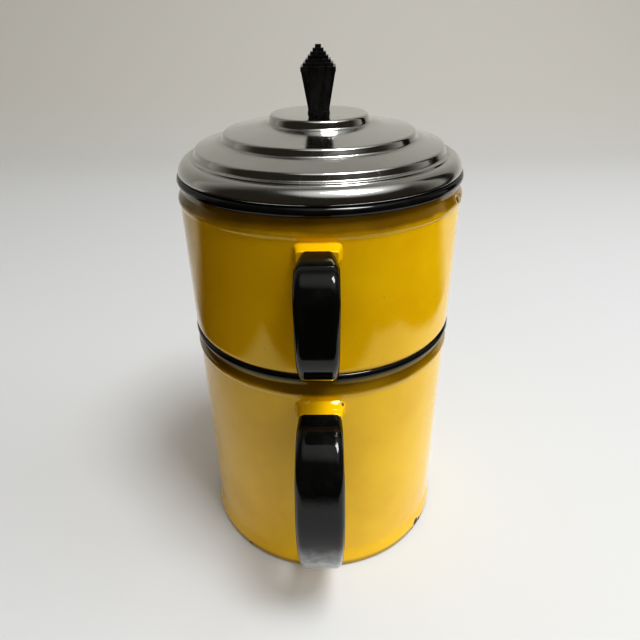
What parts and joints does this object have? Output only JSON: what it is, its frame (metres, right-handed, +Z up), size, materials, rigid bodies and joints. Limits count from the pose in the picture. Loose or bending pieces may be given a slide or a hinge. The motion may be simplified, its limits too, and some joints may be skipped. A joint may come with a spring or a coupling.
{
  "type": "drip coffee pot",
  "caption": "Two-tier enamelled drip coffee pot: serving pot with spout, stacked filter vessel, loose water spreader and stepped metal lid with a pyramid knob.",
  "frame": {"origin": "middle of the pot's foot, on the plane it stands on", "axes": "+Z up along the common axis of the vessels and lid; -Y towards the two handles; +Y towards the spout; +X to the right when the handles face the viewer"},
  "size_m": [0.1244, 0.2045, 0.236],
  "materials": {
    "enamel_yellow": "gloss",
    "enamel_black": "gloss",
    "lid_chrome": "polished",
    "knob_bakelite": "satin",
    "bare_steel": "satin",
    "insert_brass": "machined"
  },
  "bodies": {
    "pot": {"pot_body": "enamel_yellow", "pot_base": "enamel_yellow", "pot_rim": "enamel_black", "pot_spout": "enamel_yellow", "pot_handle": "enamel_black", "pot_handle_top_lug": "enamel_yellow", "pot_handle_bottom_lug": "enamel_yellow"},
    "filter": {"filter_body": "enamel_yellow", "filter_strainer": "enamel_yellow", "filter_rim": "enamel_black", "filter_handle": "enamel_black", "filter_handle_top_lug": "enamel_yellow", "filter_handle_bottom_lug": "enamel_yellow"},
    "spreader": {"spreader_plate": "bare_steel", "spreader_stem": "bare_steel", "spreader_knob": "bare_steel"},
    "lid": {"lid_shell": "lid_chrome", "lid_collar": "bare_steel", "lid_knob": "knob_bakelite", "knob_insert": "insert_brass", "knob_washer": "bare_steel", "knob_screw": "bare_steel"}
  },
  "joints": [
    {"name": "filter_lift", "type": "slide", "parent": "pot", "child": "filter", "axis": [0, 0, 1], "range_m": [0, 0.09]},
    {"name": "spreader_lift", "type": "slide", "parent": "filter", "child": "spreader", "axis": [0, 0, 1], "range_m": [0, 0.1]},
    {"name": "lid_lift", "type": "slide", "parent": "spreader", "child": "lid", "axis": [0, 0, 1], "range_m": [0, 0.06]}
  ]
}
